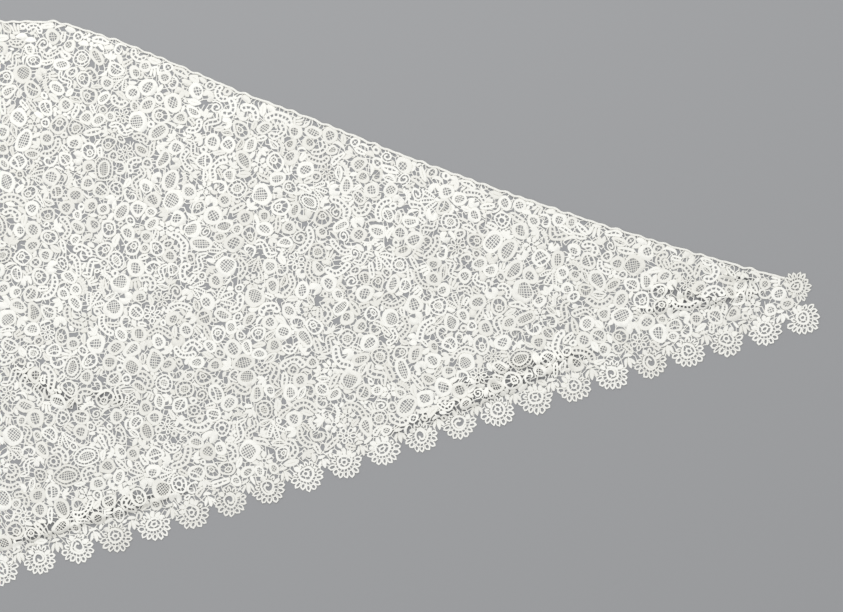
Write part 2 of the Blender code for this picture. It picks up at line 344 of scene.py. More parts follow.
def ladderArc(inner, outer, tape, sweep, count):
    start, end = 90 - sweep / 2, 90 + sweep / 2
    shift = -(inner + outer) / 2 * 0.8
    steps = max(6, int(sweep / 16))
    parts = [strip(arc(0, shift, inner, inner, start, end, tape, steps)),
             strip(arc(0, shift, outer, outer, start, end, tape, steps))]
    middle, reach = (inner + outer) / 2, (outer - inner) / 2
    for angle, way in ((start, -1), (end, 1)):
        a = math.radians(angle)
        cx, cy = middle * math.cos(a), shift + middle * math.sin(a)
        parts.append(strip(arc(cx, cy, reach, reach, angle, angle + way * 180, tape, 5)))
    return parts + rungs(0, shift, inner, outer, start, end, count, 1.9)


def ladderTab(length, width, tape, count, x=0.0, y=0.0, turn=0.0):
    place = lambda u, v: turned(x, y, u, v, math.radians(turn))
    half, end = width / 2 - tape / 2, length - width / 2
    path = [(-half * 0.55, 0)] + [(-half, length * 0.4), (-half, end)]
    for a in (135, 90, 45):
        path.append((half * math.cos(math.radians(a)), end + half * math.sin(math.radians(a))))
    path += [(half, end), (half, length * 0.4), (half * 0.55, 0)]
    parts = [strip([place(u, v) + (tape,) for u, v in path])]
    for i in range(count):
        v = length * (0.12 + 0.72 * (i + 0.5) / count)
        parts.append(bar(*place(-half, v), *place(half, v), 1.4))
    return parts


def tabFan():
    parts = []
    for turn, length in ((-34, 16), (0, 19), (34, 16)):
        t = math.radians(turn)
        parts += ladderTab(length, 6.8, 2.4, 4, -3.0 * math.sin(t), 3.0 * math.cos(t) - 9, turn)
    return parts + [leaf(0, -13, 0, -4.5, 5.0, 0.0, 4)]


def curl():
    path = []
    for i in range(19):
        s = i / 18
        a = math.radians(80 + 600 * s)
        r = 1.6 + 6.4 * s
        path.append((r * math.cos(a), r * math.sin(a), 2.7 - 0.4 * s))
    parts = [strip(path)]
    return parts + rungs(0, 0, 2.2, 7.4, 130, 420, 5, 0.9)


def beadBand(length, width, count):
    half, rise = length / 2, width / 2 - 1.6
    upper = [(-half + length * i / 8, rise * math.sin(math.pi * i / 8) ** 0.55, 3.5) for i in range(9)]
    lower = [(x, -y, w) for x, y, w in upper]
    parts = [strip(upper), strip(lower)]
    for i in range(count):
        x = -half * 0.78 + half * 1.56 * i / (count - 1)
        parts.append(bar(x, -rise, x, rise, 1.8))
    return parts


def windingBand():
    # A tape that runs round a slow double bend and back, joined across by rungs.
    there, back, parts = [], [], []
    for i in range(13):
        t = i / 12
        x, y = -12 + 24 * t, 4.4 * math.sin(2 * math.pi * t)
        slope = math.atan(4.4 * 2 * math.pi / 24 * math.cos(2 * math.pi * t))
        reach = 2.75 * max(0.0, math.sin(math.pi * (0.08 + 0.84 * t))) ** 0.4
        there.append((x + reach * math.sin(slope), y - reach * math.cos(slope), 3.1))
        back.append((x - reach * math.sin(slope), y + reach * math.cos(slope), 3.1))
        if i in (2, 4, 6, 8, 10):
            parts.append(bar(there[-1][0], there[-1][1], back[-1][0], back[-1][1], 1.5))
    first, last = [(-13.6, -1.0, 2.4)], [(13.6, 1.0, 2.4)]
    return [("closed", there + last + back[::-1] + first)] + parts


def fingers(count):
    # Narrow close-worked fingers side by side from one root.
    parts = [leaf(-5.6, -6.5, 5.6, -6.5, 4.6, -0.8, 6, 0.5)]
    for i in range(count):
        x = -4.4 + 8.8 * i / (count - 1)
        parts.append(leaf(x * 0.75, -6.6, x * 1.25, 7.0 - 0.13 * x * x, 4.3, 0.0, 6, 0.4))
    return parts


def wheelBand():
    parts = [hoop(0, 0, 8.3, 8.3, 2.5, 20), hoop(0, 0, 3.7, 3.7, 2.4, 12)]
    return parts + rungs(0, 0, 4.6, 7.4, 0, 360, 8, 1.3)


def trefoil():
    # Three short close-worked lobes meeting unevenly at a point.
    return [leaf(0.3, -0.8, 0, 6.8, 5.6, 0.4, 5, 0.5), leaf(0.6, 0.4, 6.0, -4.0, 5.2, -0.5, 5, 0.5),
            leaf(-0.6, 0.4, -6.2, -3.2, 4.8, 0.5, 5, 0.5)]


def halfMoon(radius, thick):
    wide = lambda s: thick * max(0.2, math.sin(math.pi * s))
    return [strip(arc(0, -radius * 0.5, radius, radius, 20, 160, wide, 8))]


def feather(length):
    # A curved rib with small lobes down one side.
    parts = [strip(arc(0, -length * 0.55, length * 0.62, length * 0.62, 35, 145, 2.8, 8))]
    for i in range(6):
        a = math.radians(43 + 15 * i)
        r0, r1 = length * 0.62, length * 0.62 + 5.6
        c, s = math.cos(a), math.sin(a)
        parts.append(leaf(r0 * c, r0 * s - length * 0.55, r1 * c, r1 * s - length * 0.55, 4.2, 0.0, 4, 0.6))
    return parts


# Modelling: the paths of a motif become curves with a flat-topped or ridged profile, made meshes and cleaned.

def putIn(name, data):
    # A new object in the scene, selected alone.
    thing = bpy.data.objects.new(name, data)
    bpy.context.collection.objects.link(thing)
    bpy.ops.object.select_all(action="DESELECT")
    thing.select_set(True)
    bpy.context.view_layer.objects.active = thing
    return thing


def profileCurve(name, corners):
    data = bpy.data.curves.new(name, "CURVE")
    data.dimensions = "2D"
    data.fill_mode = "NONE"
    spline = data.splines.new("POLY")
    spline.points.add(len(corners) - 1)
    for point, (x, y) in zip(spline.points, corners):
        point.co = (x * mm, y * mm, 0.0, 1.0)
    spline.use_cyclic_u = True
    return putIn(name, data)


tapeProfile = profileCurve("tapeProfile", [(-0.5, 0.0), (0.5, 0.0), (0.37, 1.0), (-0.37, 1.0)])
barProfile = profileCurve("barProfile", [(-0.5, 0.0), (0.5, 0.0), (0.0, 1.0)])


def drawPaths(name, paths, profile):
    data = bpy.data.curves.new(name, "CURVE")
    data.dimensions = "3D"
    data.twist_mode = "Z_UP"
    data.bevel_mode = "OBJECT"
    data.bevel_object = profile
    data.use_fill_caps = True
    for kind, points in paths:
        spline = data.splines.new("POLY")
        spline.points.add(len(points) - 1)
        for point, (x, y, width) in zip(spline.points, points):
            point.co = (x * mm, y * mm, 0.0, 1.0)
            point.radius = width
        spline.use_cyclic_u = kind == "closed"
    drawn = putIn(name, data)
    bpy.ops.object.convert(target="MESH")
    bpy.ops.object.mode_set(mode="EDIT")
    bpy.ops.mesh.select_all(action="SELECT")
    bpy.ops.mesh.remove_doubles(threshold=0.000001)
    bpy.ops.mesh.normals_make_consistent(inside=False)
    bpy.ops.mesh.quads_convert_to_tris()
    bpy.ops.object.mode_set(mode="OBJECT")
    return drawn


def readMesh(thing):
    mesh = thing.data
    points = np.empty(len(mesh.vertices) * 3)
    mesh.vertices.foreach_get("co", points)
    mesh.calc_loop_triangles()
    corners = np.empty(len(mesh.loop_triangles) * 3, dtype=np.int32)
    mesh.loop_triangles.foreach_get("vertices", corners)
    bpy.data.objects.remove(thing)
    return points.reshape(-1, 3), corners.reshape(-1, 3)


def fillInside(mask):
    outside = np.zeros_like(mask)
    outside[0, :] = outside[-1, :] = True
    outside[:, 0] = outside[:, -1] = True
    clear = ~mask
    while True:
        grown = outside.copy()
        grown[1:, :] |= outside[:-1, :]
        grown[:-1, :] |= outside[1:, :]
        grown[:, 1:] |= outside[:, :-1]
        grown[:, :-1] |= outside[:, 1:]
        grown &= clear
        grown |= outside
        if grown.sum() == outside.sum():
            return ~outside
        outside = grown


fine = 0.4 * mm      # cell of a motif's own footprint


def footprint(points, corners):
    reach = float(np.abs(points[:, :2]).max()) + 4 * fine
    half = int(math.ceil(reach / fine))
    mask = np.zeros((2 * half + 1, 2 * half + 1), dtype=bool)
    flat = points[:, :2]
    for a, b, c in flat[corners]:
        longest = max(np.abs(b - a).max(), np.abs(c - a).max(), np.abs(c - b).max())
        n = int(longest / (fine * 0.7)) + 1
        i, j = np.meshgrid(np.arange(n + 1), np.arange(n + 1))
        keep = i + j <= n
        u, v = i[keep] / n, j[keep] / n
        spots = a + np.outer(u, b - a) + np.outer(v, c - a)
        cells = np.rint(spots / fine).astype(int) + half
        mask[cells[:, 1], cells[:, 0]] = True
    return fillInside(mask), half


def threadAlong(points, corners, paths):
    # Distance along and across the nearest path for each corner, so that the stitches follow the work.
    starts, ends, before = [], [], []
    for kind, path in paths:
        spots = [(x * mm, y * mm) for x, y, width in path]
        if kind == "closed":
            spots.append(spots[0])
        run = 0.0
        for a, b in zip(spots, spots[1:]):
            starts.append(a)
            ends.append(b)
            before.append(run)
            run += math.hypot(b[0] - a[0], b[1] - a[1])
    starts, ends, before = np.array(starts), np.array(ends), np.array(before)
    way = ends - starts
    size = np.maximum(np.hypot(way[:, 0], way[:, 1]), 1e-9)
    way = way / size[:, None]
    middle = points[corners][:, :, :2].mean(axis=1)
    offset = middle[:, None, :] - starts[None, :, :]
    along = np.clip((offset * way[None]).sum(axis=2), 0.0, size[None])
    gap = np.hypot(*(offset - along[:, :, None] * way[None]).transpose(2, 0, 1))
    nearest = gap.argmin(axis=1)
    thread = np.zeros(corners.shape + (2,))
    for corner in range(3):
        offset = points[corners[:, corner], :2] - starts[nearest]
        w = way[nearest]
        thread[:, corner, 0] = before[nearest] + (offset * w).sum(axis=1)
        thread[:, corner, 1] = offset[:, 1] * w[:, 0] - offset[:, 0] * w[:, 1]
    return thread / (10 * mm)


def workMotif(name, paths, height):
    tapes = [path for path in paths if path[0] != "bar"]
    bars = [path for path in paths if path[0] == "bar"]
    points, corners = readMesh(drawPaths(name, tapes, tapeProfile))
    thread = threadAlong(points, corners, tapes)
    points[:, 2] = np.where(points[:, 2] > 0.05 * mm, height * mm, 0.0)
    if bars:
        barPoints, barCorners = readMesh(drawPaths(name + "Bars", bars, barProfile))
        barPoints[:, 2] = np.where(barPoints[:, 2] > 0.05 * mm, height * 0.72 * mm, height * 0.2 * mm)
        thread = np.concatenate([thread, threadAlong(barPoints, barCorners, bars)])
        corners = np.vstack([corners, barCorners + len(points)])
        points = np.vstack([points, barPoints])
    mask, half = footprint(points, corners)
    reach = float(np.hypot(points[:, 0], points[:, 1]).max())
    return {"points": points, "corners": corners, "thread": thread, "mask": mask, "half": half,
            "reach": reach}


motifPlan = [
    # name, paths, height, how many on the whole shawl, sizes
    ("ringedPod", ringedPod(), 1.1, 14, (0.8, 1.05)),
    ("tabFan", tabFan(), 1.0, 40, (0.85, 1.1)),
    ("longLadder", ladderArc(12.2, 18.0, 3.5, 100, 6), 1.0, 100, (0.85, 1.1)),
    ("pod", pod(14.0, 9.8, 4.4), 1.1, 50, (0.8, 1.05)),
    ("largeCup", cup(12.6, 7.9, 2.5), 1.15, 40, (0.8, 1.08)),
    ("windingBand", windingBand(), 1.0, 60, (0.8, 1.1)),
    ("featherArc", feather(15), 1.0, 44, (0.85, 1.1)),
    ("largeRosette", rosette(10.8, 5.1, 3.0, 22), 1.1, 80, (0.88, 1.08)),
    ("ringedRosette", ringedRosette(), 1.1, 30, (0.88, 1.1)),
    ("nestedRosette", nestedRosette(1.7, 1.2, 25), 1.1, 60, (0.88, 1.1)),
    ("nestedRound", nestedRosette(-1.9, 0.4, 80), 1.1, 50, (0.84, 1.1)),
    ("splitRosette", splitRosette(), 1.1, 90, (0.84, 1.12)),
    ("loopFlower", loopFlower(6), 1.0, 36, (0.9, 1.1)),
    ("daisy", daisy(6), 1.1, 40, (0.85, 1.1)),
    ("wheelBand", wheelBand(), 1.0, 30, (0.85, 1.1)),
    ("rosette", rosette(9.0, 4.5, 3.0, 20), 1.1, 130, (0.85, 1.1)),
    ("fineRosette", rosette(9.4, 4.4, 2.5, 20), 1.1, 60, (0.85, 1.1)),
    ("ovalRosette", rosette(10.6, 4.3, 2.8, 20, 0.76), 1.1, 120, (0.85, 1.1)),
    ("cup", cup(9.2, 4.6, 2.2, 0.92), 1.15, 100, (0.8, 1.1)),
    ("archLadder", ladderArc(5.6, 11.0, 3.3, 145, 4), 1.0, 90, (0.85, 1.1)),
    ("curl", curl(), 1.0, 40, (0.85, 1.1)),
    ("beadBand", beadBand(19, 8.8, 4), 1.05, 110, (0.8, 1.1)),
    ("hookBand", hookBand(), 1.0, 110, (0.8, 1.1)),
    ("heart", heart(), 1.1, 110, (0.75, 1.1)),
    ("petalSpray", petalSpray(3, 40, 13.0, 6.4), 1.1, 120, (0.8, 1.1)),
    ("smallRosette", rosette(7.4, 3.8, 2.7, 18), 1.1, 200, (0.85, 1.1)),
    ("wheel", wheel(6.6, 3.1, 4), 1.05, 90, (0.85, 1.15)),
    ("fingers", fingers(3), 1.0, 60, (0.8, 1.1)),
    ("slitLeaf", slitLeaf(19, 10.4), 1.05, 130, (0.8, 1.1)),
    ("broadLeaf", broadLeaf(17, 9.5), 1.1, 130, (0.7, 1.1)),
    ("ladderTab", ladderTab(15, 7.8, 3.2, 3, 0, -7.5), 1.0, 130, (0.8, 1.1)),
    ("eyelet", eyelet(4.7, 3.3), 1.1, 90, (0.75, 1.15)),
    ("halfMoon", halfMoon(8.0, 5.0), 1.1, 150, (0.8, 1.1)),
    ("trefoil", trefoil(), 1.05, 180, (0.8, 1.15)),
    ("petal", [leaf(-6.4, 0, 6.4, 0, 7.4, 0.7, 6, 0.45)], 1.1, 300, (0.7, 1.2)),
    ("smallPetal", [leaf(-4.3, 0, 4.3, 0, 5.4, 0.3, 5, 0.45)], 1.0, 190, (0.7, 1.1)),
]

motifs = {}
for name, paths, height, count, sizes in motifPlan:
    motifs[name] = workMotif(name, paths, height)
print("motifs worked:", len(motifs))

# Edge scallops, in millimetres, with the outward side at minus 90 degrees.
scallopPlan = {
    "step": 0.0477, "aSide": 22, "topTip": (1.0412, 0.0269), "height": 1.1, "kinds": 5,
    "eye": (3.4, 2.4, 12.8),                            # half width, half height and place of the open eye
    "tipEdge": ((1.0142, 0.0398), (1.0258, 0.0384)),    # where the cloth ends behind the top tip
    "radius": 22.0, "hub": 8.3, "ring": 13.2, "post": 7.7, "lobe": 26, "eyeFree": 13,
}


def loop(radius, inner, angle, pitch, tape, roll):
    # One loop of the rim: two sides meeting in a point, round an open slit.
    a = math.radians(angle)
    half = math.radians(pitch) / 2
    tip = radius - tape * 0.8
    wideOut = max(tape * 0.42, (tip - 2.4) * half - tape * 0.46)
    wideIn = max(tape * 0.3, inner * half - tape * 0.44)
    path = []
    up = [(inner - 0.4, wideIn, 0.95), (tip - 2.9, wideOut, 1.0), (tip - 0.9, wideOut * 0.66, 1.15)]
    down = [(u, -v, wide) for u, v, wide in up]
    for u, v, wide in down + [(tip + 0.5, roll, 1.3)] + up[::-1]:
        path.append(turned(0.0, 0.0, u, v, a) + (tape * wide,))
    return strip(path)


def scallop(radius, start, sweep, lobes, eyeAngle, seed):
    own = random.Random(seed)
    scale = radius / scallopPlan["radius"]
    hub, post = scallopPlan["hub"] * scale, scallopPlan["post"] * scale
    ovalX, ovalY, turn = own.uniform(0.93, 1.06), own.uniform(0.93, 1.04), own.uniform(0, 180)
    if seed % 2:
        # The heart of the scallop is one tape wound from the middle out.
        wound = []
        first = own.uniform(0, 360)
        for i in range(31):
            t = i / 30
            angle = math.radians(first + 660 * t)
            reach = (2.1 + 6.2 * min(1.0, t / 0.62)) * scale
            wound.append((reach * ovalX * math.cos(angle), reach * ovalY * math.sin(angle), 3.0 + 0.4 * t))
        parts = [strip(wound)]
        for past in (60, 140, 215, 290):
            inner = (2.1 + 6.2 * past / 409) * scale
            parts.append(spoke(0, 0, inner, 8.2 * scale, math.radians(first + past), 1.3))
    else:
        parts = [hoop(0, 0, 3.4 * scale, 3.1 * scale, 2.7, 12, turn),
                 hoop(0, 0, hub * ovalX, hub * ovalY, 3.5, 22)]
        parts += rungs(0, 0, 4.2 * scale, 7.4 * scale, turn, turn + 360, 5, 1.5)
    pitch = sweep / lobes
    ring = scallopPlan["ring"] * scale
    parts.append(strip(arc(0, 0, ring, ring, start, start + sweep, 1.9, lobes * 2)))
    parts += rungs(0, 0, post, ring, start, start + sweep, lobes + 1, 1.5)
    for i in range(lobes):
        parts.append(loop(radius + own.uniform(-0.9, 0.4), ring, start + pitch * (i + 0.5), pitch,
                          own.uniform(2.0, 2.35), own.uniform(-1.1, 1.1)))
    free = 360 - sweep
    count = max(2, int(free / scallopPlan["lobe"]))
    for i in range(count):
        angle = start + sweep + free * (i + 0.5) / count
        apart = abs((angle - eyeAngle + 180) % 360 - 180)
        if apart < scallopPlan["eyeFree"]:
            continue
        a = math.radians(angle)
        reach = own.uniform(16.6, 18.0) * scale
        if own.random() < 0.6:
            parts.append(loop(reach, 11.2 * scale, angle, scallopPlan["lobe"], 2.3, 0.0))
            parts.append(spoke(0, 0, post, 11.0 * scale, a, 1.4))
        else:
            parts.append(leaf(hub * math.cos(a), hub * math.sin(a),
                              reach * math.cos(a), reach * math.sin(a), 6.4, own.uniform(-0.8, 0.8), 6, 0.45))
    return parts


def notchSpray():
    # Three petals that fill the corner between two scallops, pointing out.
    return [leaf(0.3, 14.0, 0, -0.6, 5.6, 0.4, 7, 0.5), leaf(-1.8, 12.5, -6.6, 2.0, 4.4, -0.5, 6, 0.5),
            leaf(1.8, 12.5, 6.6, 2.0, 4.4, 0.5, 6, 0.5), leaf(-5.8, 15.2, 5.8, 15.2, 4.6, 0.8, 6, 0.5)]


def lean(k):
    step = scallopPlan["step"]
    x = k * step
    return math.atan2(float(notchLine(x + step) - notchLine(x - step)), 2 * step)


scallopHeight = scallopPlan["height"]
for i in range(scallopPlan["kinds"]):
    motifs["scallop%d" % i] = workMotif("scallop%d" % i, scallop(22, -185, 190, 8, 90, 20 + i), scallopHeight)
motifs["cornerScallop"] = workMotif("cornerScallop", scallop(22, -201, 222, 10, 90, 31), scallopHeight)
motifs["lowerTip"] = workMotif("lowerTip", scallop(22, -158, 222, 10, 165, 32), scallopHeight)
motifs["topTip"] = workMotif("topTip", scallop(19.5, -92, 246, 11, 200, 34), scallopHeight)
motifs["notchSpray"] = workMotif("notchSpray", notchSpray(), scallopHeight)
edgeKinds = [name for name in motifs if "callop" in name or "Tip" in name or name == "notchSpray"]

# Laying out: a board of small cells says what is taken, so that the motifs nestle without overlapping.
layout = {
    "cell": 0.8 * mm, "halfWidth": 1.090, "halfDepth": 0.376, "seed": 11, "refresh": 24, "slide": 9,
    "tries": 30, "misses": 60, "lookAgain": 20, "squash": (0.84, 1.0),
    "core": 0.42,                       # share of a motif's side that a spot has to have free
    "grow": 1.08, "fuller": 0.035,      # how much larger the motifs are worked than laid, and toward the tips
    "large": 9, "keepOff": 0.004, "margin": 0.0045, "marginWaves": ((0.0035, 0.0113), (0.002, 0.0041)),
}
cell = layout["cell"]
boardX = int(layout["halfWidth"] / cell)
boardY = int(layout["halfDepth"] / cell)
columnX = (np.arange(2 * boardX + 1) - boardX) * cell
rowY = (np.arange(2 * boardY + 1) - boardY) * cell
outsideGround = ((rowY[:, None] < seamLine(columnX)[None, :] + 0.0004)
                 | (rowY[:, None] > upperEdge(columnX)[None, :] - 0.0002)
                 | (np.abs(columnX)[None, :] > cloth["fieldEnd"]))
label = np.zeros(outsideGround.shape, dtype=np.int32)      # 0 free, otherwise the number of what lies there


def paintOutline(board, outline, value):
    xs = [p[0] for p in outline]
    ys = [p[1] for p in outline]
    c0, c1 = int(min(xs) / cell) + boardX - 2, int(max(xs) / cell) + boardX + 3
    r0, r1 = int(min(ys) / cell) + boardY - 2, int(max(ys) / cell) + boardY + 3
    px, py = np.meshgrid(columnX[c0:c1], rowY[r0:r1])
    inside = np.zeros(px.shape, dtype=bool)
    for (ax, ay), (bx, by) in zip(outline, outline[1:] + outline[:1]):
        crosses = (ay > py) != (by > py)
        inside ^= crosses & (px < ax + (py - ay) * (bx - ax) / (by - ay if by != ay else 1e-9))
    board[r0:r1, c0:c1][inside] = value


tipX, tipY = scallopPlan["topTip"]
tipEdgeX = scallopPlan["tipEdge"][0][0]
lastX = scallopPlan["step"] * scallopPlan["aSide"]
inTips = np.zeros(label.shape, dtype=bool)
for side in (1, -1):
    corner = [*scallopPlan["tipEdge"], (tipX, tipY), (lastX, float(notchLine(lastX))),
              (tipEdgeX, float(notchLine(tipEdgeX)))]
    paintOutline(inTips, [(side * x, y) for x, y in corner], True)
inBorder = ((rowY[:, None] > notchLine(columnX)[None, :] + 0.0004)
            & (rowY[:, None] < seamLine(columnX)[None, :] + 0.0006)
            & (np.abs(columnX)[None, :] < lastX)) | inTips
outsideCloth = outsideGround & ~inBorder
taken = outsideCloth.copy()
gapBoard = np.zeros(taken.shape, dtype=bool)
for outline in groundGaps():
    for side in (1, -1):
        paintOutline(gapBoard, [(side * x, y) for x, y in outline], True)
taken |= gapBoard


def poseMask(motif, turn, size, flip, squash):
    half = int(math.ceil(motif["reach"] * size / cell)) + 1
    grid = np.arange(-half, half + 1) * cell
    px, py = np.meshgrid(grid, grid)
    c, s = math.cos(turn), math.sin(turn)
    u = (px * c + py * s) / size * flip
    v = (-px * s + py * c) / (size * squash)
    iu = np.clip(np.rint(u / fine).astype(int) + motif["half"], 0, 2 * motif["half"])
    iv = np.clip(np.rint(v / fine).astype(int) + motif["half"], 0, 2 * motif["half"])
    return motif["mask"][iv, iu], half


def clearCells(half):
    # Cells with an empty square of this half-width round them.
    total = np.cumsum(np.cumsum(np.pad(taken, ((1, 0), (1, 0))).astype(np.int32), axis=0), axis=1)
    k = 2 * half + 1
    count = total[k:, k:] - total[:-k, k:] - total[k:, :-k] + total[:-k, :-k]
    rows, columns = np.nonzero(count == 0)
    return rows + half, columns + half


placed = []      # motif name, x, y, turn, size, flip, squash
dice = random.Random(layout["seed"])


def claim(mask, half, row, column, *motif):
    # Writes a motif down and marks the cells that it takes.
    placed.append(motif)
    window = (slice(row - half, row + half + 1), slice(column - half, column + half + 1))
    taken[window] |= mask
    label[window][mask & (label[window] == 0)] = len(placed)
    return window


def isFree(mask, half, row, column):
    if row < half or column < half or row + half >= taken.shape[0] or column + half >= taken.shape[1]:
        return False
    return not (taken[row - half:row + half + 1, column - half:column + half + 1] & mask).any()


def nestle(mask, half, row, column):
    first = dice.uniform(0, 2 * math.pi)
    for turn in (first, first + math.pi / 2 * dice.choice((1, -1))):
        dr, dc = math.sin(turn), math.cos(turn)
        r, c = float(row), float(column)
        for step in range(layout["slide"]):
            nr, nc = r + dr, c + dc
            if not isFree(mask, half, int(round(nr)), int(round(nc))):
                break
            r, c = nr, nc
        row, column = int(round(r)), int(round(c))
    return row, column


def layMotif(name, count, sizes, core):
    motif = motifs[name]
    laid = 0
    misses = 0
    spots = None
    while laid < count and misses < layout["misses"]:
        again = misses % layout["lookAgain"] == layout["lookAgain"] - 1
        if spots is None or laid % layout["refresh"] == 0 or again:
            spots = clearCells(core)
            if len(spots[0]) == 0:
                break
        size = dice.uniform(*sizes)
        turn = dice.uniform(0, 2 * math.pi)
        flip = dice.choice((1, -1))
        squash = dice.uniform(*layout["squash"])
        mask, half = poseMask(motif, turn, size, flip, squash)
        for attempt in range(layout["tries"]):
            pick = dice.randrange(len(spots[0]))
            row, column = int(spots[0][pick]), int(spots[1][pick])
            if isFree(mask, half, row, column):
                row, column = nestle(mask, half, row, column)
                claim(mask, half, row, column, name, columnX[column], rowY[row], turn, size, flip, squash)
                laid += 1
                misses = 0
                break
        else:
            misses += 1
    return laid


def stampMotif(name, x, y, turn, flip):
    mask, half = poseMask(motifs[name], turn, 1.0, flip, 1.0)
    column, row = int(round(x / cell)) + boardX, int(round(y / cell)) + boardY
    window = claim(mask, half, row, column, name, x, y, turn, 1.0, flip, 1.0)
    edgeCells[window] |= mask


# The scalloped edging goes down first, each scallop with its eye kept open.
edgeCells = np.zeros(taken.shape, dtype=bool)
stampMotif("cornerScallop", 0.0, float(notchLine(0.0)), 0.0, 1)
eyes = [(0.0, float(notchLine(0.0)), 90.0)]
for side in (1, -1):
    for k in range(1, scallopPlan["aSide"]):
        x = k * scallopPlan["step"]
        kind = (k * 7 + 2 * (side > 0)) % scallopPlan["kinds"]
        stampMotif("scallop%d" % kind, side * x, float(notchLine(x)), side * lean(k), side)
        eyes.append((side * x, float(notchLine(x)), 90 + side * math.degrees(lean(k))))
    stampMotif("lowerTip", side * lastX, float(notchLine(lastX)), 0.0, side)
    stampMotif("topTip", side * tipX, tipY, 0.0, side)
    eyes.append((side * lastX, float(notchLine(lastX)), 90 + side * 75))
    eyes.append((side * tipX, tipY, 90 + side * 110))
    for k in range(scallopPlan["aSide"]):
        x = (k + 0.5) * scallopPlan["step"]
        stampMotif("notchSpray", side * x, float(notchLine(x)), side * lean(k + 0.5), side)
eyeWide, eyeTall, eyeReach = scallopPlan["eye"]
for x, y, angle in eyes:
    a = math.radians(angle)
    cx, cy = x + eyeReach * mm * math.cos(a), y + eyeReach * mm * math.sin(a)
    outline = []
    for i in range(10):
        t = 2 * math.pi * i / 10
        outline.append(turned(cx, cy, eyeTall * mm * math.cos(t), eyeWide * mm * math.sin(t), a))
    paintOutline(taken, outline, True)
print("edging motifs:", len(placed))

# A loose row of motifs pushed up against the neck edge, so that the edge is worked rather than empty.
edgeRow = {
    "kinds": ("beadBand", "slitLeaf", "petal", "halfMoon", "rosette", "archLadder", "broadLeaf",
              "smallRosette", "petal", "ladderTab", "beadBand", "cup", "longLadder", "fingers", "wheel",
              "petal"),
    "along": {"beadBand": 0, "slitLeaf": 0, "petal": 0, "halfMoon": 0, "broadLeaf": 0, "ladderTab": 90,
              "longLadder": 0},      # these lie along the edge, at this angle
    "end": 1.004, "sizes": (0.85, 1.08), "tilt": 9, "below": 0.024, "steps": (0.006, 0.012),
    "slopeReach": 0.004,
}
x = -edgeRow["end"]
while x < edgeRow["end"]:
    name = dice.choice(edgeRow["kinds"])
    size = dice.uniform(*edgeRow["sizes"])
    reach = edgeRow["slopeReach"]
    slope = math.atan2(float(upperEdge(x + reach) - upperEdge(x - reach)), 2 * reach)
    angle = edgeRow["along"].get(name, dice.uniform(0, 360)) + dice.uniform(-edgeRow["tilt"], edgeRow["tilt"])
    turn = slope + math.radians(angle)
    mask, half = poseMask(motifs[name], turn, size, 1, 1.0)
    column = int(round(x / cell)) + boardX
    row = int(round((float(upperEdge(x)) - edgeRow["below"]) / cell)) + boardY
    if isFree(mask, half, row, column):
        while isFree(mask, half, row + 1, column):
            row += 1
        claim(mask, half, row, column, name, columnX[column], rowY[row], turn, size, 1, 1.0)
    x += dice.uniform(*edgeRow["steps"])

# Then the motifs of the ground, the large ones kept clear of the border by an uneven margin.
margin = layout["margin"]
for reach, length in layout["marginWaves"]:
    margin = margin + reach * np.sin(columnX / length)
keepOff = rowY[:, None] < (seamLine(columnX) + margin - layout["keepOff"])[None, :]
laidSoFar = taken
for name, paths, height, count, sizes in motifPlan:
    large = motifs[name]["reach"] > layout["large"] * mm
    taken = laidSoFar | keepOff if large else laidSoFar
    core = max(1, int(layout["core"] * math.sqrt(motifs[name]["mask"].sum()) * fine / cell))
    laid = layMotif(name, count, sizes, core)
    if large:
        laidSoFar |= taken & ~keepOff
    print("laid", name, laid, "of", count)
taken = laidSoFar
share = float((label > 0).sum() / (~outsideCloth).sum())
print("motifs laid:", len(placed), "share of the cloth:", round(share, 3))

# Brides: thin bars thrown from motif to motif across what is still open.
brides = {
    "shortest": 1.2, "longest": 12.0, "spacing": 4.4, "width": 1.34, "low": 0.45, "rise": 0.42,
    "sink": 1.0,           # how far a bar's ends run into the motifs
    "share": 0.6,          # of the rim cells that may start one
    "shy": 0.45,           # of the bars that leave the cut gaps open
    "shared": 0.3,         # of its way that a bar may share with others
    "swings": (0, 34, -34, 60, -60), "waver": 0.2, "most": 18000,
    "uneven": (0.85, 1.2), "tones": (0.2, 0.7),
}
webs = {"depth": 3, "apart": 8.0, "longest": 9.0, "inGaps": 0.3, "back": 0.35, "swing": 13}


def braidBoard():
    above = rowY[:, None] - upperEdge(columnX)[None, :]
    return (above > -0.0002) & (above < cloth["braidWidth"]) & (np.abs(columnX)[None, :] < cloth["fieldEnd"])


label[braidBoard() & (label == 0)] = len(placed) + 1
solid = label > 0
near = np.zeros(solid.shape, dtype=np.float32)
for dr in range(-2, 3):
    for dc in range(-2, 3):
        near += np.roll(np.roll(solid, dr, axis=0), dc, axis=1)
slopeR, slopeC = np.gradient(near)
free = ~solid
shifts = [(way, axis) for axis in (0, 1) for way in (1, -1)]
rim = solid & np.logical_or.reduce([np.roll(free, way, axis) for way, axis in shifts])
rim[:3, :] = rim[-3:, :] = False
rimRows, rimColumns = np.nonzero(rim)
chance = np.random.default_rng(layout["seed"])
keep = chance.random(len(rimRows)) < brides["share"]
rimRows, rimColumns = rimRows[keep], rimColumns[keep]
outward = np.arctan2(-slopeR[rimRows, rimColumns], -slopeC[rimRows, rimColumns])
usedEnds = np.zeros(label.shape, dtype=bool)
usedWay = np.zeros(label.shape, dtype=bool)
bars = []


